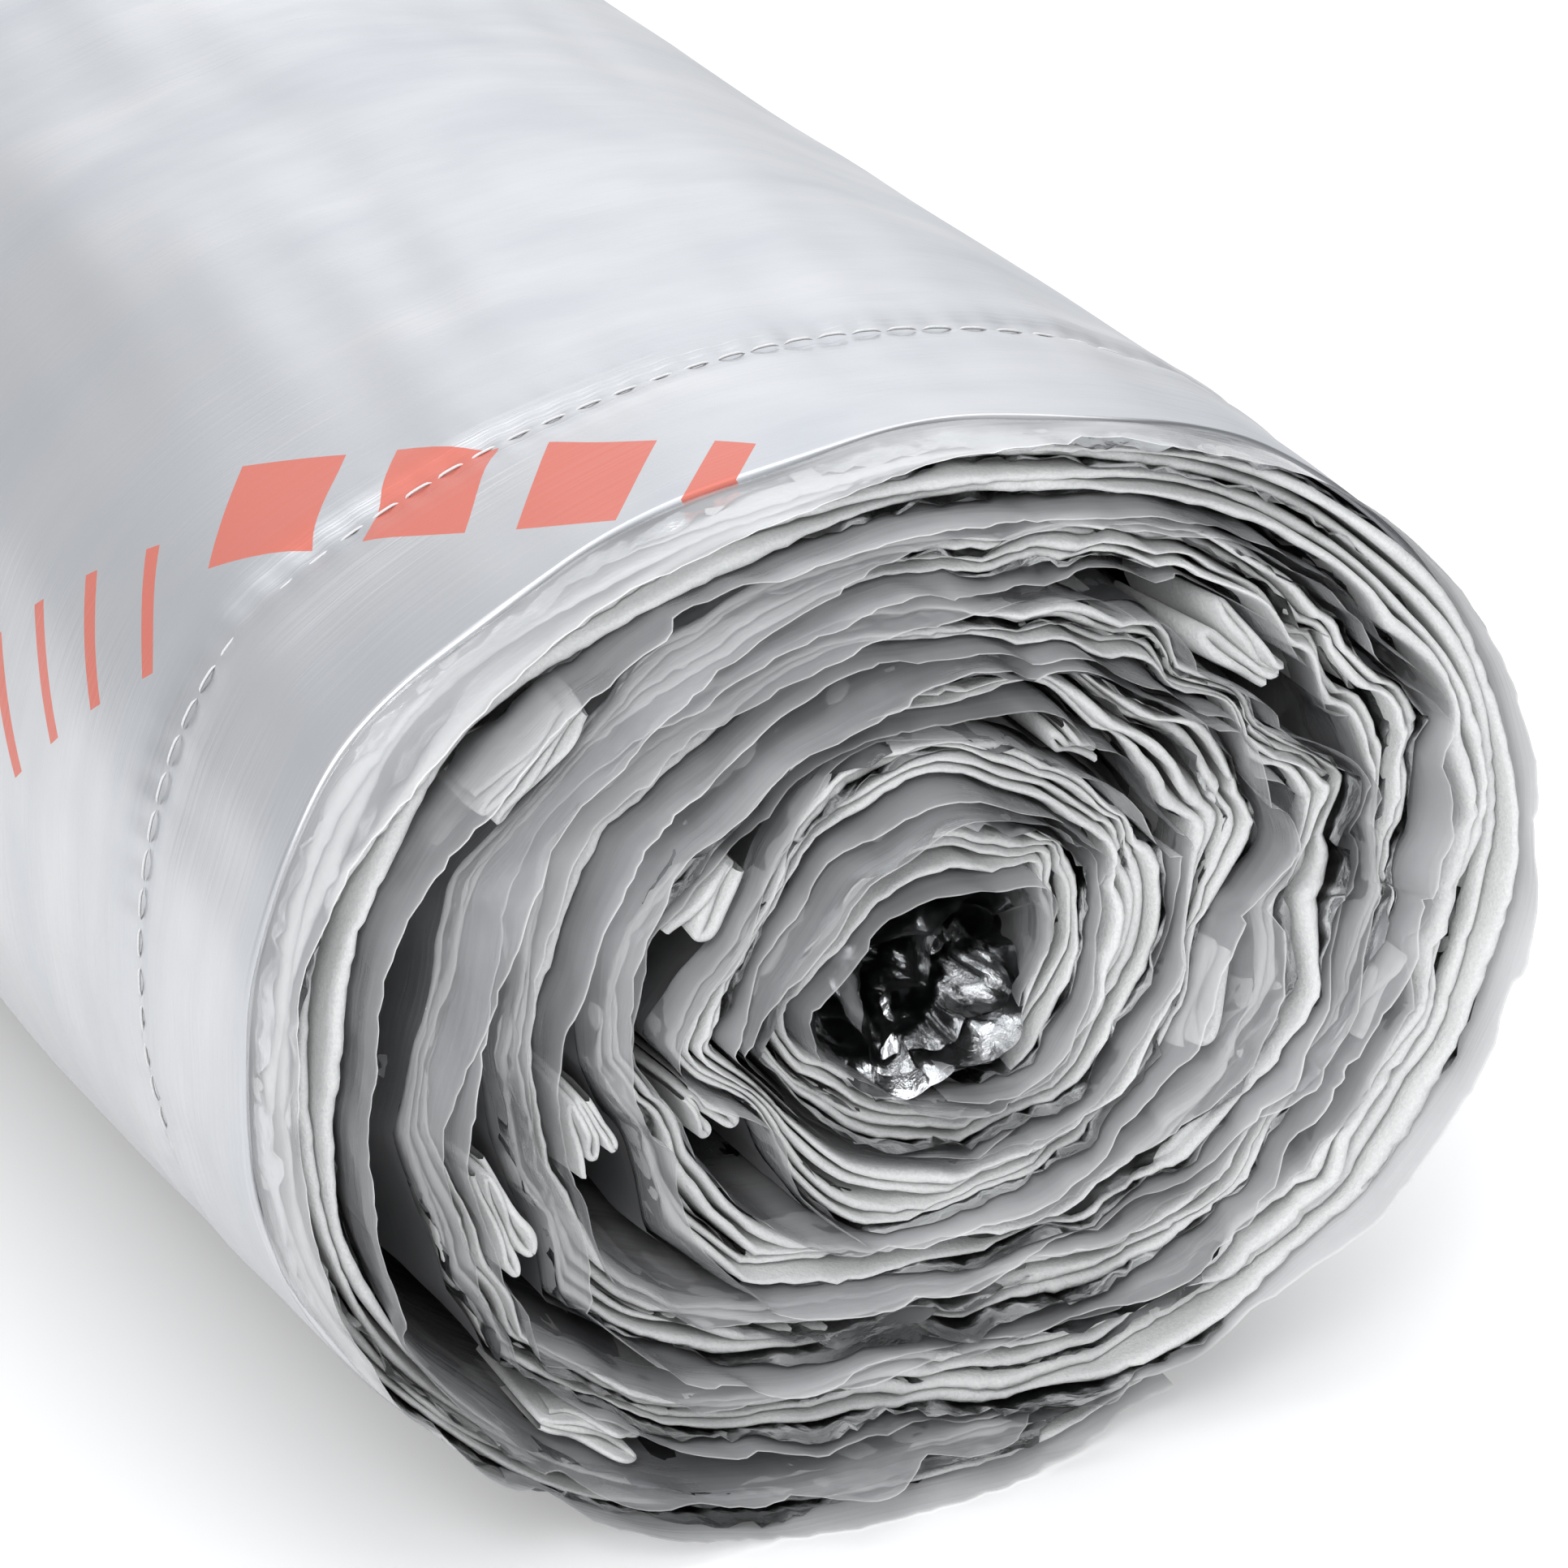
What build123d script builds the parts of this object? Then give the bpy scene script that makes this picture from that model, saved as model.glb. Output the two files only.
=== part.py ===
"""Insulation roll: a stitched foil and fleece blanket wound on itself, lying on its side.

The roll lies along X, its underside on the floor at Z = 0. All lengths are in millimetres.
"""
import math
import os

from build123d import *

# Driving dimensions of the roll
roll_length = 1200  # width that the blanket is sold in
roll_width = 370  # the sagged oval section, side to side
roll_height = 300  # the same oval, top to bottom, before its underside flattens
base_drop = 6  # how far the roll's own weight presses its underside flat

# The hollow left in the middle, where the first fold of the blanket has collapsed
bore_width = 44
bore_height = 28
bore_tilt = 35  # degrees

# The ends, where the plies stand at different depths
facing_thickness = 2.5
facing_setback = 24  # the outer facing stops this far short of the plies inside it
gap_depth = 45  # how far in the gap between two turns is seen
wadding_depth = 14  # the fleece stands this far behind the film lips on either side of it

# The stitched seam along each long edge of the blanket
seam_inset = 74  # from the edge of the outer facing
thread_width = 1.4
thread_proud = 0.6
thread_depth = 0.8

cut_overrun = 5

# The wound blanket, from its outer edge inwards: the radius of its outer face as a share of the
# oval's radius, every thirty degrees, one row to a turn.
lap_angle = 300  # degrees, from the back of the roll: the outer edge lies low, out of sight
step_angle = 30  # degrees
steps_per_turn = 12
turn_shares = (
    0.95, 0.97, 1.02, 1.02, 1.01, 1.05, 1.01, 1.00, 1.02, 1.00, 0.95, 0.92,
    0.88, 0.85, 0.92, 0.93, 0.86, 0.88, 0.86, 0.88, 0.88, 0.87, 0.81, 0.77,
    0.71, 0.69, 0.75, 0.76, 0.73, 0.73, 0.74, 0.77, 0.78, 0.75, 0.67, 0.63,
    0.58, 0.57, 0.59, 0.61, 0.58, 0.59, 0.62, 0.64, 0.64, 0.61, 0.52, 0.48,
    0.46, 0.45, 0.44, 0.44, 0.44, 0.46, 0.48, 0.50, 0.50, 0.45, 0.39, 0.36,
    0.33, 0.32, 0.31, 0.31, 0.31, 0.32, 0.35, 0.37, 0.36, 0.31, 0.27, 0.25,
    0.23, 0.22, 0.21, 0.20, 0.20, 0.20, 0.22, 0.24, 0.23, 0.20, 0.18, 0.17,
    0.16,
)

# How a turn is made up through its thickness, as shares of the pitch to the next turn
gap_share = 0.18
lip_share = 0.14

# Hollows where two turns stand apart: the step of the winding, and the share of the pitch each adds
hollow_shares = (
    (14, 0.22), (15, 0.15), (16, 0.28), (17, 0.40), (22.5, 0.42), (27.5, 0.25), (32.5, 0.35), (39.5, 0.32),
    (42, 0.20), (46.5, 0.30), (48, 0.25), (51, 0.35), (53, 0.40), (56, 0.20),
)
hollow_reach = 1.2  # steps of the winding, to either side

# Steps of the winding between which the gap and the set-back fleece show on the ends
gap_steps = (13, 73)
wadding_steps = (1, 54)

centre_height = roll_height / 2 - base_drop
end_x = roll_length / 2
seam_x = end_x - facing_setback - seam_inset


def oval_radius(angle):
    """Radius of the plain oval section at an angle from the back of the roll."""
    half_width = roll_width / 2
    half_height = roll_height / 2
    return half_width * half_height / math.hypot(half_height * math.cos(angle), half_width * math.sin(angle))


def winding_share(step):
    """Share of the oval's radius at any place along the winding, smooth through the listed ones."""
    last = len(turn_shares) - 1
    whole = min(int(step), last)
    part = min(step, last) - whole
    before, here, after, beyond = (
        turn_shares[min(max(whole + shift, 0), last)] for shift in (-1, 0, 1, 2)
    )
    slope = (after - before) / 2
    next_slope = (beyond - here) / 2
    rise = after - here
    bend = 3 * rise - 2 * slope - next_slope
    return here + part * (slope + part * (bend + part * (slope + next_slope - 2 * rise)))


def turn_face(step):
    """Pitch share of the turn's own outer face."""
    return 0.0


def gap_floor(step):
    """Pitch share at the bottom of the gap between this turn and the one outside it."""
    reaches = ((min(abs(step - place) / hollow_reach, 1.0), depth) for place, depth in hollow_shares)
    return gap_share + sum(depth * (1 + math.cos(math.pi * reach)) / 2 for reach, depth in reaches)


def wadding_top(step):
    """Pitch share where the fleece begins, under the outer film lip."""
    return gap_floor(step) + lip_share


def wadding_floor(step):
    """Pitch share where the fleece ends, above the inner film lip."""
    return 1.0 - lip_share


def winding_point(step, level=turn_face, proud=0.0):
    """Place in the section at a step of the winding, at one level of the turn's thickness."""
    angle = math.radians(lap_angle - step * step_angle)
    face_share = winding_share(step)
    next_share = winding_share(step + steps_per_turn)
    radius = oval_radius(angle) * (face_share + (next_share - face_share) * level(step)) + proud
    # The blanket's edge is a step in the outer face, so an offset face has its step moved as well
    if step in (0, steps_per_turn):
        angle += proud / radius
    return (radius * math.cos(angle), radius * math.sin(angle))


def winding_arcs(steps, level=turn_face, proud=0.0):
    """Chain of arcs along the winding, one for each step, and the places of its two ends."""
    for step in range(*steps):
        ThreePointArc(*(winding_point(step + half, level, proud) for half in (0.0, 0.5, 1.0)))
    return [winding_point(step, level, proud) for step in steps]


def roll_section(proud, floor_proud):
    """Section of the roll at a height above its face, flat at a depth below the floor."""
    with BuildSketch() as face:
        with BuildLine():
            edge, foot = winding_arcs((0, steps_per_turn), proud=proud)
            Line(foot, edge)
        make_face()
        floor = Plane(origin=(0, -centre_height - floor_proud, 0), x_dir=(1, 0, 0), z_dir=(0, 1, 0))
        split(bisect_by=floor, keep=Keep.TOP)
    return face.sketch


def skin_ring(outer, inner):
    """Ring left between two sections of the roll."""
    with BuildSketch() as ring:
        add(outer)
        add(inner, mode=Mode.SUBTRACT)
    return ring.sketch


def winding_strip(steps, upper_level, lower_level):
    """Spiral strip of the end face that follows the turns between two levels of their thickness."""
    with BuildSketch() as strip:
        with BuildLine():
            upper = winding_arcs(steps, upper_level)
            lower = winding_arcs(steps, lower_level)
            for upper_end, lower_end in zip(upper, lower):
                Line(upper_end, lower_end)
        make_face()
    return strip.sketch


# Section plane across the roll: its x runs along Y, its y along Z
section = Plane(origin=(0, 0, centre_height), x_dir=(0, 1, 0), z_dir=(1, 0, 0))

beyond_roll = roll_section(cut_overrun, cut_overrun)
under_facing = roll_section(-facing_thickness, -facing_thickness)
under_thread = roll_section(-thread_depth, -thread_depth)

# The blanket, wound into one solid with its collapsed bore
with BuildPart() as rolled_blanket:
    with BuildSketch(section.offset(-end_x)):
        add(roll_section(0.0, 0.0))
        Ellipse(bore_width / 2, bore_height / 2, rotation=bore_tilt, mode=Mode.SUBTRACT)
    extrude(amount=roll_length)
    # The turns on both ends: gaps between them, fleece set back between film lips, facing cut short
    for strip, depth in (
        (winding_strip(gap_steps, turn_face, gap_floor), gap_depth),
        (winding_strip(wadding_steps, wadding_top, wadding_floor), wadding_depth),
        (skin_ring(beyond_roll, under_facing), facing_setback),
    ):
        for start_x in (-end_x - cut_overrun, end_x - depth):
            with BuildSketch(section.offset(start_x)):
                add(strip)
            extrude(amount=depth + cut_overrun, mode=Mode.SUBTRACT)
    # The seams pull a shallow groove round the facing
    for place_x in (-seam_x, seam_x):
        with BuildSketch(section.offset(place_x - thread_width / 2)):
            add(skin_ring(beyond_roll, under_thread))
        extrude(amount=thread_width, mode=Mode.SUBTRACT)


def seam_thread(place_x):
    """Line of thread lying in its groove round the roll, pressed flush under it."""
    with BuildPart() as thread:
        with BuildSketch(section.offset(place_x - thread_width / 2)):
            add(skin_ring(roll_section(thread_proud, 0.0), under_thread))
        extrude(amount=thread_width)
    return thread.part


os.makedirs("parts", exist_ok=True)

rolled_blanket.part.label = "rolled_blanket"
export_step(rolled_blanket.part, "parts/rolled_blanket.step")

for name, place_x in (("seam_thread_near", seam_x), ("seam_thread_far", -seam_x)):
    thread = seam_thread(place_x)
    thread.label = name
    export_step(thread, f"parts/{name}.step")
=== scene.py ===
"""Insulation roll: the looks of a stitched foil and fleece blanket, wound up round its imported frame."""
import math

import bpy
import numpy as np
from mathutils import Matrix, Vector


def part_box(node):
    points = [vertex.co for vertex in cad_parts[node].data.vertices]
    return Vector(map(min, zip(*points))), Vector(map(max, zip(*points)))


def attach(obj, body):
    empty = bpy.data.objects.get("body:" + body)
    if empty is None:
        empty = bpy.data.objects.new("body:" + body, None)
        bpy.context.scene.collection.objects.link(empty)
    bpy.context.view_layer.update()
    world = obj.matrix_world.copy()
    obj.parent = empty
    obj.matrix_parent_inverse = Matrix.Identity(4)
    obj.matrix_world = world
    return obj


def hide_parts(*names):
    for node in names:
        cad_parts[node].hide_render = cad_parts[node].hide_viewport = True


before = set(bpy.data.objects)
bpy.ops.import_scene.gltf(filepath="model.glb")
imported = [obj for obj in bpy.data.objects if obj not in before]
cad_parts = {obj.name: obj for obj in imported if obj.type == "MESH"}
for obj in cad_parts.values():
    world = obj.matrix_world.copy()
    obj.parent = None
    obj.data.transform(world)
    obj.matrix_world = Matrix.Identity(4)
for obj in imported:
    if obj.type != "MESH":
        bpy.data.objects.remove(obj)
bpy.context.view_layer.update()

# Outer facing
# The outside of the blanket: a silver film with a satin metal coat, wound once round the roll.
# It is stitched through near both of its edges and stops short of the plies inside it.

roll_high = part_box("rolled_blanket")[1]
thread_low, thread_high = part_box("seam_thread_near")
facing_setback = 0.024
end_x = roll_high.x
rim_x = end_x - facing_setback
seam_x = (thread_low.x + thread_high.x) / 2
oval_half_width = 0.185
oval_half_height = 0.150
centre_z = 0.144
floor_gap = 0.0006

# The winding from the blanket's outer edge inwards: the radius of its outer face as a share of the
# oval's radius, every thirty degrees, one row to a turn.
lap_angle = math.radians(300)
step_angle = math.radians(30)
steps_per_turn = 12
turn_shares = np.array((
    0.95, 0.97, 1.02, 1.02, 1.01, 1.05, 1.01, 1.00, 1.02, 1.00, 0.95, 0.92,
    0.88, 0.85, 0.92, 0.93, 0.86, 0.88, 0.86, 0.88, 0.88, 0.87, 0.81, 0.77,
    0.71, 0.69, 0.75, 0.76, 0.73, 0.73, 0.74, 0.77, 0.78, 0.75, 0.67, 0.63,
    0.58, 0.57, 0.59, 0.61, 0.58, 0.59, 0.62, 0.64, 0.64, 0.61, 0.52, 0.48,
    0.46, 0.45, 0.44, 0.44, 0.44, 0.46, 0.48, 0.50, 0.50, 0.45, 0.39, 0.36,
    0.33, 0.32, 0.31, 0.31, 0.31, 0.32, 0.35, 0.37, 0.36, 0.31, 0.27, 0.25,
    0.23, 0.22, 0.21, 0.20, 0.20, 0.20, 0.22, 0.24, 0.23, 0.20, 0.18, 0.17,
    0.16,
))
core_shrink = 0.005  # share lost at each step beyond the table


def turn_share(step):
    """Share of the oval's radius at any step of the winding, smooth through the listed ones."""
    last = len(turn_shares) - 1
    beyond_last = np.maximum(step - last, 0)
    step = np.clip(step, 0, last)
    whole = np.minimum(step.astype(int), last - 1)
    part = step - whole
    before, here, after, beyond = (turn_shares[np.clip(whole + shift, 0, last)] for shift in (-1, 0, 1, 2))
    slope = (after - before) / 2
    next_slope = (beyond - here) / 2
    rise = after - here
    bend = 3 * rise - 2 * slope - next_slope
    smooth = here + part * (slope + part * (bend + part * (slope + next_slope - 2 * rise)))
    return smooth - core_shrink * beyond_last


def wound(step, pitch_share, proud=0.0):
    """Y and Z across the roll at a step of the winding, a share of the pitch below the turn's face."""
    angle = lap_angle - step * step_angle
    oval = oval_half_width * oval_half_height / np.hypot(
        oval_half_height * np.cos(angle), oval_half_width * np.sin(angle))
    face = turn_share(step)
    radius = oval * (face + (turn_share(step + steps_per_turn) - face) * pitch_share) + proud
    return radius * np.cos(angle), centre_z + radius * np.sin(angle)


def ripple(places, wavelength, seed, waves=14):
    """Smooth random height over a set of places, about one high: waves that cross in all directions."""
    draw = np.random.default_rng(seed)
    heights = np.zeros(places.shape[:-1])
    for _ in range(waves):
        heading = draw.normal(size=places.shape[-1])
        heading *= 2 * math.pi / (np.linalg.norm(heading) * wavelength * draw.uniform(0.7, 1.5))
        heights += np.sin(places @ heading + draw.uniform(0, 2 * math.pi))
    return heights * math.sqrt(2 / waves)


def creases(places, wavelength, seed, waves=14):
    """Random height with sharp valleys, about level on the whole."""
    return np.abs(ripple(places, wavelength, seed, waves)) - 0.8


# How the soft roll settles: a waist between its ends, and creases of its inner turns that are
# strongest on the slack side at the back
lengthwise_share = 0.4
waist_share = 0.032
waist_start = 0.17
waist_length = 0.36
firm_share = 0.93
firm_fade = 0.12
sway_height = 0.0009
sway_length = 0.11
crease_height = 0.0048
crease_length = 0.10
slack_height = 0.0016
slack_length = 0.045


def settled(x, y, z):
    """Places after the soft roll has shifted out of true and creased, all its plies together."""
    places = np.stack(np.broadcast_arrays(lengthwise_share * x, y, z), axis=-1)
    moved = np.stack(np.broadcast_arrays(x, y, z), axis=-1)
    from_end = np.clip((end_x - np.abs(moved[..., :1]) - waist_start) / waist_length, 0.0, 1.0)
    moved[..., 1:] *= 1 - waist_share * from_end * from_end * (3 - 2 * from_end)
    share = np.hypot(places[..., 1] / oval_half_width, (places[..., 2] - centre_z) / oval_half_height)
    inside = np.clip((firm_share - share) / firm_fade, 0.0, 1.0)
    slack = 0.8 + 1.6 * np.clip(places[..., 1] / oval_half_width + 0.2, 0.0, 1.0)
    for axis in (1, 2):
        moved[..., axis] += sway_height * ripple(places, sway_length, 10 + axis)
        moved[..., axis] += inside * crease_height * creases(places, crease_length, 13 + axis, 6)
        moved[..., axis] += inside * slack * slack_height * creases(places, slack_length, 16 + axis, 6)
    moved[..., 2] = np.maximum(moved[..., 2], floor_gap)
    return moved


def ply_object(name, places, along, across, lip, closed=False):
    """Object for one ply from a grid of places, its rows across the sheet and its columns along it."""
    rows, columns = places.shape[:2]
    index = np.arange(rows * columns).reshape(rows, columns)
    if closed:
        index = np.vstack((index, index[:1]))
    corners = np.stack((index[:-1, :-1], index[:-1, 1:], index[1:, 1:], index[1:, :-1]), axis=-1)
    corners = corners.reshape(-1, 4)
    if closed:
        half = rows // 2
        near = np.arange(half // 2 - 1)
        pairs = np.concatenate((near, near + half))
        across_pairs = np.concatenate((half - 1 - near, rows - 1 - near))
        caps = np.stack((pairs, pairs + 1, across_pairs - 1, across_pairs), axis=-1)
        caps = np.vstack((caps, (rows - 1, 0, half - 1, half))) * columns
        corners = np.vstack((corners, caps, caps[:, ::-1] + columns - 1))
    mesh = bpy.data.meshes.new(name)
    mesh.vertices.add(rows * columns)
    mesh.vertices.foreach_set("co", places.astype(np.float32).ravel())
    mesh.loops.add(corners.size)
    mesh.loops.foreach_set("vertex_index", corners.astype(np.int32).ravel())
    mesh.polygons.add(len(corners))
    mesh.polygons.foreach_set("loop_start", np.arange(0, corners.size, 4, dtype=np.int32))
    mesh.polygons.foreach_set("use_smooth", np.ones(len(corners), dtype=bool))
    sheet_map = mesh.uv_layers.new(name="sheet")
    sheet_place = np.stack(np.broadcast_arrays(along, across), axis=-1).reshape(-1, 2)
    sheet_map.data.foreach_set("uv", sheet_place[corners.ravel()].astype(np.float32).ravel())
    edge = mesh.attributes.new("lip", "FLOAT", "POINT")
    edge.data.foreach_set("value", np.broadcast_to(lip, (rows, columns)).astype(np.float32).ravel())
    mesh.update(calc_edges=True)
    mesh.validate()
    made = bpy.data.objects.new(name, mesh)
    bpy.context.scene.collection.objects.link(made)
    return made


facing_columns = 440
edge_band = 0.2
middle_row_count = 46
stitch_pitch = 0.0104
film_lift = 0.0005
rim_thickness = 0.0004
rim_turned_in = 0.0020
rim_calm_length = 0.02
rim_raggedness = 0.0016
lap_turned_in = 0.0105
seam_pull = 0.0016
seam_pull_width = 0.006
seam_ridge = 0.0010
seam_ridge_place = 0.014
seam_ridge_width = 0.010
pucker_height = 0.00035
pucker_length = 0.007

# The rows lie closest by the rim and the seam, and the first column is the cut edge at the lap
facing_step = np.concatenate(([0.0], np.linspace(0.0, steps_per_turn, facing_columns)))
edge_rows = np.concatenate((
    np.arange(0, 0.03, 0.0025), np.arange(0.03, 0.11, 0.004), np.arange(0.11, edge_band, 0.01)))
middle_rows = np.linspace(rim_x - edge_band, edge_band - rim_x, middle_row_count)
half_rows = np.concatenate(([rim_thickness], edge_rows))
facing_rows = np.concatenate((rim_x - half_rows, middle_rows, half_rows[::-1] - rim_x))
facing_y, facing_z = wound(facing_step, 0.0)
facing_along = np.concatenate(([0.0], np.cumsum(np.hypot(np.diff(facing_y), np.diff(facing_z)))))
along, across = np.meshgrid(facing_along, facing_rows)
film_places = np.stack((along, across), axis=-1)
from_seam = np.abs(np.abs(across) - seam_x)
to_rim = rim_x - np.abs(across)
swell = 0.0009 * ripple(film_places * (1.0, 0.35), 0.09, 21)
swell += 0.0003 * ripple(film_places * (1.0, 0.25), 0.03, 22)
swell -= seam_pull * np.exp(-(from_seam / seam_pull_width) ** 2)
swell += seam_ridge * np.exp(-((from_seam - seam_ridge_place) / seam_ridge_width) ** 2)
pucker = np.cos(2 * math.pi * along / stitch_pitch)
swell += pucker_height * pucker * np.exp(-from_seam / pucker_length)
swell *= 1 - 0.8 * np.exp(-to_rim / rim_calm_length)
swell += film_lift
swell[[0, -1]] -= rim_turned_in
swell[:, 0] -= lap_turned_in
film_y, film_z = wound(np.broadcast_to(facing_step, along.shape), 0.0, swell)
ragged = rim_raggedness * ripple(film_places * (1.0, 0.0), 0.06, 24) * np.exp(-to_rim / rim_calm_length)
film_x = across + ragged * np.sign(across)
outer_facing = ply_object("outer_facing", settled(film_x, film_y, film_z), along, across, 0.0)


def node(tree, kind, inputs=None, **settings):
    """Node with its settings made and its inputs set or joined up."""
    made = tree.nodes.new(kind)
    for key, value in settings.items():
        setattr(made, key, value)
    for key, value in (inputs or {}).items():
        if isinstance(value, bpy.types.NodeSocket):
            tree.links.new(value, made.inputs[key])
        else:
            made.inputs[key].default_value = value
    return made


def effect(name, inputs, outputs):
    """Empty shader node group with named sockets, and its input and output nodes."""
    group = bpy.data.node_groups.new(name, "ShaderNodeTree")
    for socket, kind in inputs.items():
        group.interface.new_socket(socket, in_out="INPUT", socket_type=kind)
    for socket, kind in outputs.items():
        group.interface.new_socket(socket, in_out="OUTPUT", socket_type=kind)
    return group, group.nodes.new("NodeGroupInput"), group.nodes.new("NodeGroupOutput")


def finish(name, **constants):
    """New material with a principled shader whose constant inputs are set, and its node tree."""
    made = bpy.data.materials.new(name)
    made.use_nodes = True
    shader = made.node_tree.nodes["Principled BSDF"]
    for key, value in constants.items():
        shader.inputs[key.replace("_", " ")].default_value = value
    return made, made.node_tree, shader


def ramp(tree, value, low, high, low_out=0.0, high_out=1.0):
    """Output of a map range that runs from one pair of values to another."""
    return node(tree, "ShaderNodeMapRange", {
        "Value": value, "From Min": low, "From Max": high, "To Min": low_out, "To Max": high_out,
    }).outputs["Result"]


def blend(tree, share, first, second):
    """Colour between two colours or sockets."""
    mixed = node(tree, "ShaderNodeMix", {"Factor": share, 6: first, 7: second}, data_type="RGBA")
    return mixed.outputs[2]


def math_node(tree, operation, first, second):
    """Output of one sum on two values or sockets."""
    return node(tree, "ShaderNodeMath", {0: first, 1: second}, operation=operation).outputs["Value"]


def noise(tree, place, stretch, scale, detail=3.0, roughness=0.5):
    """Value of a noise stretched along the sheet's two directions."""
    stretched = node(tree, "ShaderNodeVectorMath", {0: place, 1: stretch}, operation="MULTIPLY")
    return node(tree, "ShaderNodeTexNoise", {
        "Vector": stretched.outputs["Vector"], "Scale": scale, "Detail": detail, "Roughness": roughness,
    }).outputs["Fac"]


def relief(tree, shader, height, strength, distance):
    """Bump from a height, joined to a shader's normal."""
    bump = node(tree, "ShaderNodeBump", {"Height": height, "Strength": strength, "Distance": distance})
    tree.links.new(bump.outputs["Normal"], shader.inputs["Normal"])


# Fine streaks that the rollers leave along the film, and the cloudy patches of its coat
film_grain, grain_in, grain_out = effect(
    "film_grain", {"Place": "NodeSocketVector"}, {"Streaks": "NodeSocketFloat", "Clouds": "NodeSocketFloat"})
grain_place = grain_in.outputs["Place"]
film_grain.links.new(noise(film_grain, grain_place, (8, 420, 1), 1.0, 3.0, 0.6), grain_out.inputs["Streaks"])
film_grain.links.new(noise(film_grain, grain_place, (9, 22, 1), 1.0, 3.0, 0.55), grain_out.inputs["Clouds"])

# Plain slanted dashes printed in a row along the film
printed_dashes, dashes_in, dashes_out = effect(
    "printed_dashes",
    {"Place": "NodeSocketVector", "Start": "NodeSocketFloat", "End": "NodeSocketFloat",
     "Row": "NodeSocketFloat", "Height": "NodeSocketFloat", "Pitch": "NodeSocketFloat",
     "Ink": "NodeSocketFloat", "Slant": "NodeSocketFloat", "Drift": "NodeSocketFloat"},
    {"Mask": "NodeSocketFloat"})
sheet_xy = node(printed_dashes, "ShaderNodeSeparateXYZ", {0: dashes_in.outputs["Place"]})
drifted = math_node(printed_dashes, "MULTIPLY", dashes_in.outputs["Drift"], math_node(
    printed_dashes, "SUBTRACT", sheet_xy.outputs["X"], dashes_in.outputs["Start"]))
row_here = math_node(printed_dashes, "ADD", dashes_in.outputs["Row"], drifted)
from_row = math_node(printed_dashes, "SUBTRACT", sheet_xy.outputs["Y"], row_here)
leaning = math_node(printed_dashes, "MULTIPLY", from_row, dashes_in.outputs["Slant"])
run = math_node(printed_dashes, "ADD", sheet_xy.outputs["X"], leaning)
run_from_start = math_node(printed_dashes, "SUBTRACT", run, dashes_in.outputs["Start"])
beat = math_node(printed_dashes, "DIVIDE", run_from_start, dashes_in.outputs["Pitch"])
in_dash = math_node(printed_dashes, "LESS_THAN",
                    math_node(printed_dashes, "FRACT", beat, 0.0), dashes_in.outputs["Ink"])
half_height = math_node(printed_dashes, "MULTIPLY", dashes_in.outputs["Height"], 0.5)
in_row = math_node(printed_dashes, "LESS_THAN",
                   math_node(printed_dashes, "ABSOLUTE", from_row, 0.0), half_height)
after_start = math_node(printed_dashes, "GREATER_THAN", run, dashes_in.outputs["Start"])
before_end = math_node(printed_dashes, "LESS_THAN", run, dashes_in.outputs["End"])
dash_mask = math_node(printed_dashes, "MULTIPLY", math_node(printed_dashes, "MULTIPLY", in_dash, in_row),
                      math_node(printed_dashes, "MULTIPLY", after_start, before_end))
printed_dashes.links.new(dash_mask, dashes_out.inputs["Mask"])

silver_light = (0.61, 0.61, 0.62, 1)
silver_blue = (0.52, 0.54, 0.57, 1)
print_red = (0.60, 0.165, 0.125, 1)
facing_finish, facing_tree, facing_shader = finish("metallised_film")
sheet_uv = node(facing_tree, "ShaderNodeUVMap", uv_map="sheet").outputs["UV"]
grain = node(facing_tree, "ShaderNodeGroup", {}, node_tree=film_grain)
facing_tree.links.new(sheet_uv, grain.inputs["Place"])
print_masks = []
for first_step, last_step, row, height, pitch, ink in (
    (5.25, 6.35, rim_x - 0.116, 0.060, 0.030, 0.66),
    (4.10, 5.05, rim_x - 0.212, 0.064, 0.016, 0.20),
):
    print_start, print_end = np.interp((first_step, last_step), facing_step, facing_along)
    dashes = node(facing_tree, "ShaderNodeGroup", {}, node_tree=printed_dashes)
    facing_tree.links.new(sheet_uv, dashes.inputs["Place"])
    for socket, value in (("Start", print_start), ("End", print_end), ("Row", row), ("Height", height),
                          ("Pitch", pitch), ("Ink", ink), ("Slant", 0.42), ("Drift", 1.2)):
        dashes.inputs[socket].default_value = value
    print_masks.append(dashes.outputs["Mask"])
print_mask = math_node(facing_tree, "MAXIMUM", *print_masks)
clouds = grain.outputs["Clouds"]
clouded = blend(facing_tree, ramp(facing_tree, clouds, 0.35, 0.85), silver_light, silver_blue)
inked = blend(facing_tree, print_mask, clouded, print_red)
facing_metal = ramp(facing_tree, print_mask, 0.0, 1.0, 0.92, 0.25)
facing_roughness = ramp(facing_tree, clouds, 0.3, 0.7, 0.34, 0.46)
facing_tree.links.new(inked, facing_shader.inputs["Base Color"])
facing_tree.links.new(facing_metal, facing_shader.inputs["Metallic"])
facing_tree.links.new(facing_roughness, facing_shader.inputs["Roughness"])
relief(facing_tree, facing_shader, grain.outputs["Streaks"], 0.7, 0.0004)
outer_facing.data.materials.append(facing_finish)
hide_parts("rolled_blanket")
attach(outer_facing, "root")

# Film plies
# Under the facing, milky plastic films run the whole length of the blanket, held by its seams. Their
# cut edges stand out past the fleece at both ends as thin wavy lips. The facing's own inner turns, cut
# shorter, are wound in with them, and the turns lie loosely apart in places.

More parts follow.
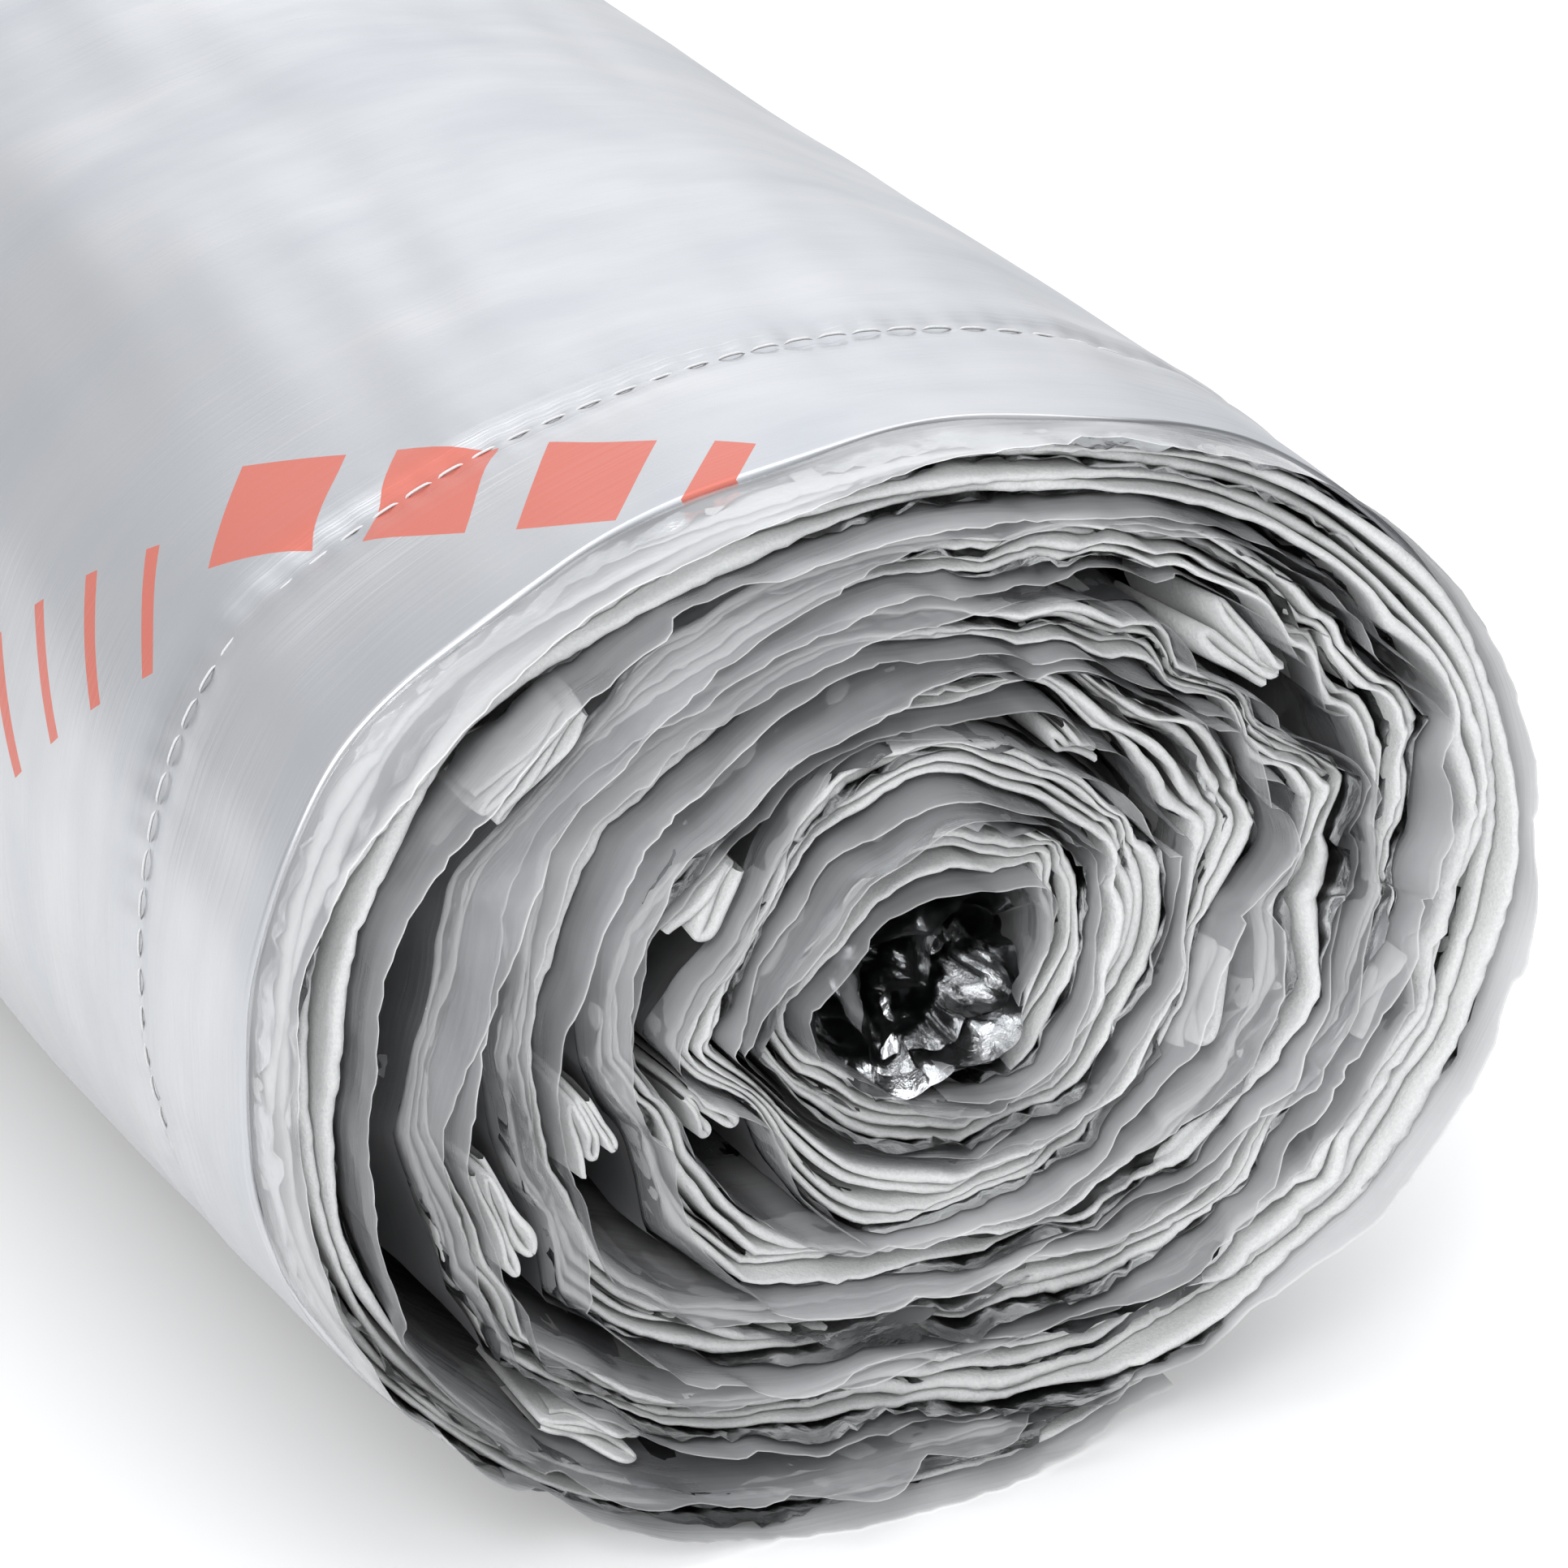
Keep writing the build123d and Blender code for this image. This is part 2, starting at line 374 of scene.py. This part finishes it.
# The air between two turns as a share of the pitch, and the hollows: the step of each, and its share
gap_share = 0.18
most_open_share = 0.72
hollow_shares = (
    (14, 0.22), (15, 0.15), (16, 0.28), (17, 0.40), (22.5, 0.42), (27.5, 0.25), (32.5, 0.35), (39.5, 0.32),
    (42, 0.20), (46.5, 0.30), (48, 0.25), (51, 0.35), (53, 0.40), (56, 0.20),
)
hollow_reach = 1.4
hollow_looseness = 1.3
first_turn_end = 12.0
core_step = 73.0
ply_spacing = 0.0033

step_fine = np.arange(-1.5, core_step, 0.01)
fine_y, fine_z = wound(step_fine, 0.5)
fine_along = np.concatenate(([0.0], np.cumsum(np.hypot(np.diff(fine_y), np.diff(fine_z)))))


def gap_floor(step):
    """Share of the pitch that is air between this turn and the one outside it."""
    opened = gap_share * np.clip(step - first_turn_end, 0.0, 1.0)
    for place, depth in hollow_shares:
        reach = np.minimum(np.abs(step - place) / hollow_reach, 1)
        opened = opened + hollow_looseness * depth * (1 + np.cos(math.pi * reach)) / 2
    return np.minimum(opened, most_open_share)


def ply_columns(first_step, last_step):
    """Steps of the winding, and lengths along the blanket, of a ply's columns."""
    start, end = np.interp((first_step, last_step), step_fine, fine_along)
    along = np.arange(start, end, ply_spacing)
    return np.interp(along, fine_along, step_fine), along


def under_facing(step, depth):
    """How far a ply of the outer turn is held in below the facing, which covers it past the rim."""
    by_rim = 0.0035 * np.clip((depth - 0.027) / 0.018, 0.0, 1.0)
    by_waist = 0.004 * np.clip((depth - 0.06) / 0.2, 0.0, 1.0)
    return (by_rim + by_waist) * np.clip(first_turn_end + 0.5 - step, 0.0, 1.0)


front_angle = math.radians(165)
front_last_step = 46


def front_turn(step):
    """How far a place is on the front of the outer turns, where the film lips close over the fleece."""
    in_front = np.clip(1.6 * np.cos(lap_angle - step * step_angle - front_angle), 0.0, 1.0)
    return in_front * np.clip((front_last_step - step) / steps_per_turn, 0.0, 1.0)


# Rows of a film by their distance from its cut edge, and how its lips lie
lip_rows = np.array((0, 0.0014, 0.0045, 0.009, 0.014, 0.020, 0.028, 0.045, 0.10, 0.18, 0.28, 0.37))
lip_length = 0.016
cut_edge_width = 0.0008
back_tuck = 0.006
skirt_drop = 0.009
start_tuck = 0.012
start_steps = 0.9
film_ripple = 0.0002


def film_ply(name, level, first_step, edge_x, flutter, curl, pinch, seed, shy=0.0, crinkle=0.0):
    """Thin ply at a level of the turn's thickness. Its lips flutter and curl out or, with a minus, in.

    At the front of the roll they are pinched across the turn and, where shy, drawn back.
    """
    step, along = ply_columns(first_step, core_step)
    angle = lap_angle - step * step_angle
    low = np.clip(0.35 - np.sin(angle), 0.35, 1.0)
    outer_turn = np.clip(first_turn_end + 1 - step, 0.0, 1.0)
    skirt = np.clip(-1.6 * np.sin(angle) - 0.3, 0.0, 1.0) * outer_turn
    tucked = back_tuck * np.clip(1.5 * np.cos(angle + step_angle), 0.0, 1.0) * outer_turn - skirt_drop * skirt
    tucked = tucked + start_tuck * np.clip(1 - (step - first_step) / start_steps, 0.0, 1.0) ** 2
    sides = []
    for side in (1, -1):
        lane = np.stack((along, np.full_like(along, side * 3.0)), axis=-1)
        scallops = (0.9 * low + 0.9 * skirt) * creases(lane, 0.07, seed + 1)
        wave = ripple(lane, 0.16, seed) + scallops
        nick = np.clip(ripple(lane, 0.05, seed + 5) - 1.3, 0.0, 1.0) + 0.06 * ripple(lane, 0.008, seed + 6)
        edge = edge_x - tucked - shy * front_turn(step) + flutter * (0.5 * wave - 0.9 * nick)
        x = side * (edge[None, :] - lip_rows[:, None])
        loose = np.exp(-lip_rows / lip_length)[:, None]
        bulge = 0.5 + 0.4 * ripple(lane, 0.12, seed + 2) + 0.5 * low * creases(lane, 0.05, seed + 3)
        lane_grid = np.stack((np.broadcast_to(along, x.shape), x), axis=-1)
        lift = curl * loose * np.maximum(bulge, 0.0) + film_ripple * ripple(lane_grid, 0.03, 44)
        lift = lift + pinch * front_turn(step) * np.exp(-(lip_rows / lip_length) ** 2)[:, None]
        lift = lift + crinkle * loose * np.abs(ripple(lane_grid, 0.015, seed + 7, 5))
        sides.append((x, lift - under_facing(step, lip_rows[:, None] + end_x - edge_x)))
    x = np.concatenate((sides[0][0], sides[1][0][::-1]))
    lift = np.concatenate((sides[0][1], sides[1][1][::-1]))
    step_grid = np.broadcast_to(step, x.shape)
    opened = gap_floor(step_grid)
    y, z = wound(step_grid, opened + (1 - opened) * level, lift)
    lip = np.exp(-np.concatenate((lip_rows, lip_rows[::-1])) / cut_edge_width)[:, None]
    made = ply_object(name, settled(x, y, z), np.broadcast_to(along, x.shape), x, lip)
    # The outer turn's film is hazier where it hangs free, below and at the back
    hanging = np.clip(np.maximum(0.3 - 1.6 * np.sin(angle), 1.4 * np.cos(angle)), 0.0, 1.0)
    hanging = (1 - level) * hanging * outer_turn
    haze = made.data.attributes.new("haze", "FLOAT", "POINT")
    haze.data.foreach_set("value", np.broadcast_to(hanging, x.shape).astype(np.float32).ravel())
    return made


film_grey = (0.50, 0.51, 0.53, 1)
film_milk = (0.78, 0.78, 0.79, 1)
film_edge_highlight = (0.95, 0.95, 0.95, 1)
lip_finish, lip_tree, lip_shader = finish("milky_film", Roughness=0.16, IOR=1.75)
lip_edge = node(lip_tree, "ShaderNodeAttribute", attribute_name="lip").outputs["Fac"]
lip_haze = node(lip_tree, "ShaderNodeAttribute", attribute_name="haze").outputs["Fac"]
lip_uv = node(lip_tree, "ShaderNodeUVMap", uv_map="sheet").outputs["UV"]
lip_grain = node(lip_tree, "ShaderNodeGroup", {}, node_tree=film_grain)
lip_tree.links.new(lip_uv, lip_grain.inputs["Place"])
lip_clouds = lip_grain.outputs["Clouds"]
# The cut edge of each film is painted near white as a painted highlight along the lip, and is made nearly
# opaque there
lip_colour = blend(lip_tree, lip_edge, blend(lip_tree, lip_clouds, film_grey, film_milk), film_edge_highlight)
lip_tree.links.new(lip_colour, lip_shader.inputs["Base Color"])
edge_cover = ramp(lip_tree, lip_edge, 0.0, 1.0, 0.0, 0.95)
haze_cover = ramp(lip_tree, lip_haze, 0.0, 1.0, 0.0, 0.84)
lip_cover = math_node(lip_tree, "MAXIMUM", ramp(lip_tree, lip_clouds, 0.3, 0.7, 0.38, 0.64), edge_cover)
lip_cover = math_node(lip_tree, "MAXIMUM", lip_cover, haze_cover)
lip_tree.links.new(lip_cover, lip_shader.inputs["Alpha"])
lip_streaks = math_node(lip_tree, "MULTIPLY", lip_grain.outputs["Streaks"], 0.1)
lip_crease = noise(lip_tree, lip_uv, (14, 30, 1), 1.0, 2.0, 0.5)
relief(lip_tree, lip_shader, math_node(lip_tree, "ADD", lip_streaks, lip_crease), 0.6, 0.004)

for name, level, first_step, edge_x, flutter, curl, pinch, seed, film in (
    ("inner_facing", 0.00, first_turn_end, end_x - 0.021, 0.002, 0.0006, 0.0, 40, facing_finish),
    ("milky_film", 0.03, 0.02, end_x + 0.001, 0.008, 0.0022, -0.0042, 60, lip_finish),
    ("back_film", 0.97, 0.15, end_x - 0.001, 0.008, -0.0022, 0.0040, 70, lip_finish),
):
    ply = film_ply(name, level, first_step, edge_x, flutter, curl, pinch, seed)
    ply.data.materials.append(film)
    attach(ply, "root")

# Mirror foils
# Very thin plastic foils with a mirror coat, laid loose between the fleece plies to turn back heat.
# They are held by the seams alone and crinkle where the blanket is rolled.

foil_silver = (0.88, 0.89, 0.90, 1)
foil_start_step = 0.15
foil_cut_back = 0.002
foil_flutter = 0.008
foil_shy = 0.010
foil_finish, foil_tree, foil_shader = finish(
    "mirror_foil", Metallic=1.0, Roughness=0.19, Base_Color=foil_silver)
foil_uv = node(foil_tree, "ShaderNodeUVMap", uv_map="sheet").outputs["UV"]
relief(foil_tree, foil_shader, noise(foil_tree, foil_uv, (1, 1, 1), 160.0, 4.0, 0.6), 0.35, 0.0015)

for name, level, edge_x, crinkle, seed in (
    ("outer_foil", 0.08, end_x - 0.005, -0.0012, 80),
    ("middle_foil", 0.50, end_x - 0.010, 0.0012, 90),
    ("inner_foil", 0.92, end_x - 0.011, 0.0012, 100),
):
    ply = film_ply(name, level, foil_start_step, edge_x - foil_cut_back, foil_flutter, 0.0, 0.0, seed,
                   shy=foil_shy, crinkle=crinkle)
    ply.data.materials.append(foil_finish)
    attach(ply, "root")

# Core foil
# The first fold of the blanket has collapsed in the middle of the roll. Its thin mirror-coated foil is
# crumpled there round the open bore, and only the turns about it hold it.

core_half_width = 0.034
core_half_height = 0.028
core_tilt = math.radians(35)
core_turns = 3.2
core_columns = 520
core_unrolled = 0.024  # length of foil to a radian of the fold
core_flare = 0.020
core_setback = 0.002
core_edge_flutter = 0.005
core_edge_setback = 0.006
core_rows = np.concatenate((np.arange(0, 0.045, 0.0022), (0.05, 0.06, 0.08, 0.13, 0.25)))
core_angle = np.linspace(0, core_turns * 2 * math.pi, core_columns)
core_reach = np.linspace(1.0, 0.50, core_columns)
core_mouth = end_x - core_setback
core_x = np.concatenate((core_mouth - core_rows, core_rows[::-1] - core_mouth))
angle_grid, x_grid = np.meshgrid(core_angle, core_x)
core_lane = np.stack((core_unrolled * angle_grid, x_grid), axis=-1)
crumple = 0.0034 * creases(core_lane, 0.046, 151, 4)
crumple += 0.0009 * creases(core_lane, 0.018, 152, 4)
flared = np.exp((np.abs(x_grid) - core_mouth) / core_flare)
reach_grid = core_reach * (0.62 + 0.38 * flared + 0.07 * ripple(core_lane * (1.0, 0.3), 0.06, 154))
wide = core_half_width * reach_grid + crumple
tall = core_half_height * reach_grid + crumple
flat_y = wide * np.cos(angle_grid)
flat_z = tall * np.sin(angle_grid)
core_y = flat_y * math.cos(core_tilt) - flat_z * math.sin(core_tilt)
core_z = centre_z + flat_y * math.sin(core_tilt) + flat_z * math.cos(core_tilt)
core_wave = core_edge_flutter * ripple(core_lane * (1.0, 0.0), 0.04, 153)
core_edge = x_grid + np.sign(x_grid) * (core_wave - core_edge_setback)
core_places = np.stack((core_edge, core_y, core_z), axis=-1)
core_foil = ply_object("core_foil", core_places, core_unrolled * angle_grid, x_grid, 0.0)
core_foil.data.materials.append(foil_finish)
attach(core_foil, "root")

# Fleece plies
# White fibre fleece, a few millimetres thick, that gives the blanket its loft. Its plies are cut
# flush by a knife and stand a little behind the film lips.

# Half of the ply's outline from its middle to its cut edge: distance from the edge
fleece_back = np.array((0.37, 0.22, 0.08, 0.012, 0.0035, 0.0009))
fleece_start_step = 0.03
fleece_front_setback = 0.010
fleece_start_setback = 0.005
fleece_raggedness = 0.0020
fleece_fray = 0.0004


def fleece_ply(name, top, bottom, edge_x, last_step, seed):
    """Thick ply between two levels of the turn's thickness, closed round its cut edges."""
    step, along = ply_columns(fleece_start_step, last_step)
    loops_x = []
    loops_level = []
    for side in (1, -1):
        lane = np.stack((along, np.full_like(along, side * 3.0)), axis=-1)
        edge = edge_x - fleece_front_setback * front_turn(step)
        edge -= fleece_start_setback * np.clip(1.1 - step, 0.0, 1.0) ** 2
        edge += fleece_raggedness * ripple(lane, 0.12, seed) + fleece_fray * ripple(lane, 0.007, seed + 1)
        behind = np.concatenate((fleece_back, (0.0, 0.0), fleece_back[::-1]))
        rounding = np.concatenate((np.zeros(4), (0.02, 0.12, 0.36, 0.64, 0.88, 0.98), np.ones(4)))
        if side < 0:
            rounding = 1 - rounding
        loops_x.append(side * (edge[None, :] - behind[:, None]))
        loops_level.append(rounding)
    x = np.concatenate(loops_x)
    across_ply = np.concatenate(loops_level)[:, None]
    step_grid = np.broadcast_to(step, x.shape)
    lane_grid = np.stack((np.broadcast_to(along, x.shape), x), axis=-1)
    thick = 0.90 + 0.15 * ripple(lane_grid, 0.05, seed + 2)
    middle = (top + bottom) / 2 + 0.022 * ripple(lane_grid, 0.08, seed + 3)
    level = middle + (bottom - top) * (across_ply - 0.5) * thick
    opened = gap_floor(step_grid)
    y, z = wound(step_grid, opened + (1 - opened) * level, -under_facing(step_grid, end_x - np.abs(x)))
    made = ply_object(name, settled(x, y, z), np.broadcast_to(along, x.shape), x, 0.0, closed=True)
    return made


fleece_shade = (0.62, 0.63, 0.63, 1)
fleece_white = (0.89, 0.89, 0.88, 1)
fleece_finish, fleece_tree, fleece_shader = finish("white_fleece", Roughness=0.95, Sheen_Weight=0.2)
fleece_place = node(fleece_tree, "ShaderNodeTexCoord").outputs["Object"]
fleece_fibre = noise(fleece_tree, fleece_place, (1, 1, 1), 900.0, 2.0, 0.7)
fleece_colour = blend(fleece_tree, fleece_fibre, fleece_shade, fleece_white)
fleece_tree.links.new(fleece_colour, fleece_shader.inputs["Base Color"])
relief(fleece_tree, fleece_shader, fleece_fibre, 0.5, 0.0008)

for name, top, bottom, edge_x, last_step, seed in (
    ("fleece_a", 0.12, 0.29, end_x - 0.010, 71.5, 110),
    ("fleece_b", 0.305, 0.475, end_x - 0.012, 71.8, 120),
    ("fleece_c", 0.525, 0.695, end_x - 0.011, 72.6, 130),
    ("fleece_d", 0.71, 0.88, end_x - 0.009, 72.2, 140),
):
    ply = fleece_ply(name, top, bottom, edge_x, last_step, seed)
    ply.data.materials.append(fleece_finish)
    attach(ply, "root")

# Outline of a folded strip: distance from its cut edge, and share of its half thickness
fold_rows = np.array((0.045, 0.012, 0.0012, 0.0, 0.0012, 0.012, 0.045))
fold_sides = np.array((1, 1, 0.8, 0, -0.8, -1, -1))
fold_setback = 0.012
fold_raggedness = 0.002


def fleece_band(name, route, half_thick, side, seed):
    """Strip of fleece that follows a route across the roll, its cut edge at one end of the roll."""
    for _ in range(3):
        near, far = route[:-1], route[1:]
        cut = np.stack((0.75 * near + 0.25 * far, 0.25 * near + 0.75 * far), axis=1).reshape(-1, 2)
        route = np.concatenate((route[:1], cut, route[-1:]))
    slope = np.gradient(route, axis=0)
    across = np.stack((-slope[:, 1], slope[:, 0]), axis=-1) / np.linalg.norm(slope, axis=-1, keepdims=True)
    places = route[None] + across[None] * half_thick * fold_sides[:, None, None]
    along = np.concatenate(([0.0], np.cumsum(np.linalg.norm(np.diff(route, axis=0), axis=-1))))
    edge = end_x - fold_setback + fold_raggedness * ripple(along[:, None], 0.03, seed)
    x = side * (edge[None, :] - fold_rows[:, None])
    folded = settled(x, places[..., 0], places[..., 1])
    band = ply_object(name, folded, np.broadcast_to(along, x.shape), x, 0.0)
    band.data.materials.append(fleece_finish)
    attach(band, "root")


def folded_route(step, passes, length, seed):
    """Route of slack fleece folded up like a concertina in the hollow at a step, and its half thickness."""
    draw = np.random.default_rng(seed)
    steps = np.array((step - 0.1, step, step + 0.1))
    top = np.array(wound(steps, 0.0))
    bottom = np.array(wound(steps, gap_floor(steps)))
    middle = (top + bottom)[:, 1] / 2
    outward = (top - bottom)[:, 1] / (passes + 0.6)
    run = (top + bottom)[:, 2] - (top + bottom)[:, 0]
    run *= length / np.linalg.norm(run)
    route = []
    for k in range(passes):
        layer = outward * (k - (passes - 1) / 2)
        ends = np.array((-0.5, 0.0, 0.5)) * draw.uniform(0.75, 1.1)
        for place in ends if k % 2 else -ends:
            fan = 1 - 0.5 * (place + 0.5) + draw.uniform(-0.12, 0.12)
            route.append(middle + run * (place + draw.uniform(-0.06, 0.06)) + layer * fan)
    return np.array(route), 0.36 * np.linalg.norm(outward)


for end, side in (("near", 1), ("far", -1)):
    for count, (step, passes, length) in enumerate((
        (14.4, 4, 0.030), (17.2, 5, 0.034), (22.4, 4, 0.026), (27.4, 4, 0.030), (32.6, 4, 0.026),
        (39.6, 5, 0.024), (46.4, 3, 0.022), (51.2, 4, 0.024), (53.1, 3, 0.022), (56.1, 3, 0.018),
    )):
        seed = 160 + count + 20 * side
        fleece_band(f"fleece_fold_{end}_{count}", *folded_route(step, passes, length, seed), side, seed)

# Seam thread
# White sewing thread, machine sewn through all the plies along both long edges of the blanket.
# It lies on the film as one long stitch after another and pulls it down at every needle hole.

stitch_length = 0.0088
stitch_arch = 0.0007
stitch_sink = 0.0013
thread_radius = 0.00042
thread_shade = (0.58, 0.58, 0.59, 1)
thread_white = (0.84, 0.84, 0.84, 1)
thread_finish, thread_tree, thread_shader = finish("sewing_thread", Roughness=0.55)
thread_place = node(thread_tree, "ShaderNodeTexCoord").outputs["Object"]
thread_twist = noise(thread_tree, thread_place, (1, 1, 1), 1800.0, 2.0, 0.5)
thread_colour = blend(thread_tree, thread_twist, thread_shade, thread_white)
thread_tree.links.new(thread_colour, thread_shader.inputs["Base Color"])

stitch_ring = np.linspace(0, 2 * math.pi, 7)[:-1]
stitch_run = np.linspace(-0.5, 0.5, 9)
for name, side in (("seam_thread_near", 1), ("seam_thread_far", -1)):
    stitches = []
    for k in range(int(facing_along[-1] / stitch_pitch)):
        middle = (k + 0.5) * stitch_pitch
        run = middle + stitch_run * stitch_length
        step = np.interp(run, facing_along, facing_step)
        arch = stitch_arch * (1 - (2 * stitch_run) ** 4) - stitch_sink
        centre_y, centre_z_run = wound(step, 0.0, arch)
        centre = settled(np.full_like(run, side * seam_x), centre_y, centre_z_run)
        outward = np.stack((np.zeros_like(run), centre_y, centre_z_run - centre_z), axis=-1)
        outward /= np.linalg.norm(outward, axis=-1, keepdims=True)
        taper = thread_radius * np.sqrt(np.clip(1.05 - (2 * stitch_run) ** 8, 0.05, 1))
        around = (np.cos(stitch_ring)[:, None, None] * np.array((1.0, 0.0, 0.0))
                  + np.sin(stitch_ring)[:, None, None] * outward[None])
        tube = centre[None] + around * taper[None, :, None]
        tube[..., 2] = np.maximum(tube[..., 2], floor_gap / 2)
        stitches.append(tube)
    tubes = np.concatenate(stitches, axis=1)
    rows, columns = tubes.shape[:2]
    index = np.arange(rows * columns).reshape(rows, columns)
    index = np.vstack((index, index[:1]))
    keep = np.arange(columns - 1) % len(stitch_run) != len(stitch_run) - 1
    quads = np.stack((index[:-1, :-1], index[:-1, 1:], index[1:, 1:], index[1:, :-1]), axis=-1)
    quads = quads[:, keep].reshape(-1, 4)
    mesh = bpy.data.meshes.new(name + "_stitches")
    mesh.from_pydata(tubes.reshape(-1, 3).tolist(), [], quads.tolist())
    mesh.polygons.foreach_set("use_smooth", np.ones(len(mesh.polygons), dtype=bool))
    seam = bpy.data.objects.new(name + "_stitches", mesh)
    bpy.context.scene.collection.objects.link(seam)
    mesh.materials.append(thread_finish)
    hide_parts(name)
    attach(seam, "root")

# Floor, light and camera
# A plain white floor under three soft boxes, in a white studio whose walls are darker in between.
# The camera looks down at the near end of the roll.

floor_half = 30.0
floor_white = (0.80, 0.80, 0.80, 1)
floor_mesh = bpy.data.meshes.new("floor")
floor_mesh.from_pydata([(-floor_half, -floor_half, 0), (floor_half, -floor_half, 0),
                        (floor_half, floor_half, 0), (-floor_half, floor_half, 0)], [], [(0, 1, 2, 3)])
floor = bpy.data.objects.new("floor", floor_mesh)
bpy.context.scene.collection.objects.link(floor)
floor_finish = finish("white_floor", Roughness=0.9, Base_Color=floor_white,
                      Emission_Color=(1, 1, 1, 1), Emission_Strength=0.30)[0]
floor_mesh.materials.append(floor_finish)


def soft_box(name, place, aim, width, length, power):
    """Large soft area light at a place, turned towards a point."""
    lamp = bpy.data.lights.new(name, "AREA")
    lamp.shape = "RECTANGLE"
    lamp.size = width
    lamp.size_y = length
    lamp.energy = power
    held = bpy.data.objects.new(name, lamp)
    held.location = place
    held.rotation_euler = (Vector(place) - Vector(aim)).to_track_quat("Z", "Y").to_euler()
    bpy.context.scene.collection.objects.link(held)


roll_middle = (0.3, 0.0, centre_z)
near_end = (0.6, 0.0, centre_z)
soft_box("top_box", (0.4, 0.3, 2.4), roll_middle, 1.8, 2.8, 28)
soft_box("front_box", (0.3, -2.2, 1.7), roll_middle, 1.4, 2.4, 4)
soft_box("end_box", (2.6, -1.4, 1.9), near_end, 1.2, 1.2, 37)

# Bright patches of the studio: direction, cosines of their outer and inner edges, and strength
world = bpy.data.worlds.new("studio")
bpy.context.scene.world = world
world.use_nodes = True
studio = world.node_tree
outlook = node(studio, "ShaderNodeTexCoord").outputs["Generated"]
glow = 0.15
for direction, wide, narrow, strength in (
    ((0.0, 0.0, 1.0), 0.55, 0.98, 0.5),
    ((-0.85, -0.25, 0.45), 0.45, 0.90, 0.60),
    ((-0.80, 0.48, 0.36), 0.84, 0.98, 0.80),
    ((0.70, -0.30, 0.65), 0.55, 0.97, 0.7),
):
    facing_it = node(studio, "ShaderNodeVectorMath", {
        0: outlook, 1: Vector(direction).normalized()}, operation="DOT_PRODUCT").outputs["Value"]
    patch = node(studio, "ShaderNodeMapRange", {
        "Value": facing_it, "From Min": wide, "From Max": narrow, "To Min": 0.0, "To Max": strength},
        interpolation_type="SMOOTHSTEP").outputs["Result"]
    glow = math_node(studio, "ADD", patch, glow)
backdrop = studio.nodes["Background"]
backdrop.inputs["Color"].default_value = (0.95, 0.97, 1.0, 1)
studio.links.new(glow, backdrop.inputs["Strength"])

camera_azimuth = math.radians(64.51)
camera_height_angle = math.radians(23.27)
camera_distance = 2.4505
camera_aim_y = -0.0365
camera_aim_rise = 0.0592
camera_target = Vector((rim_x, camera_aim_y, centre_z + camera_aim_rise))
toward_camera = Vector((
    math.sin(camera_azimuth) * math.cos(camera_height_angle),
    -math.cos(camera_azimuth) * math.cos(camera_height_angle),
    math.sin(camera_height_angle)))
lens = bpy.data.cameras.new("camera")
lens.sensor_width = 36.0
lens.lens = 219.4
lens.clip_end = 200.0
camera = bpy.data.objects.new("camera", lens)
camera.location = camera_target + toward_camera * camera_distance
camera.rotation_euler = toward_camera.to_track_quat("Z", "Y").to_euler()
bpy.context.scene.collection.objects.link(camera)
bpy.context.scene.camera = camera
bpy.context.scene.view_settings.view_transform = "Standard"

# Short light paths, so that the many thin plies take no longer than they need
light_paths = bpy.context.scene.cycles
light_paths.max_bounces = 4
light_paths.diffuse_bounces = 2
light_paths.glossy_bounces = 2
light_paths.transparent_max_bounces = 5
light_paths.caustics_reflective = False
light_paths.use_light_tree = False
light_paths.debug_use_spatial_splits = True
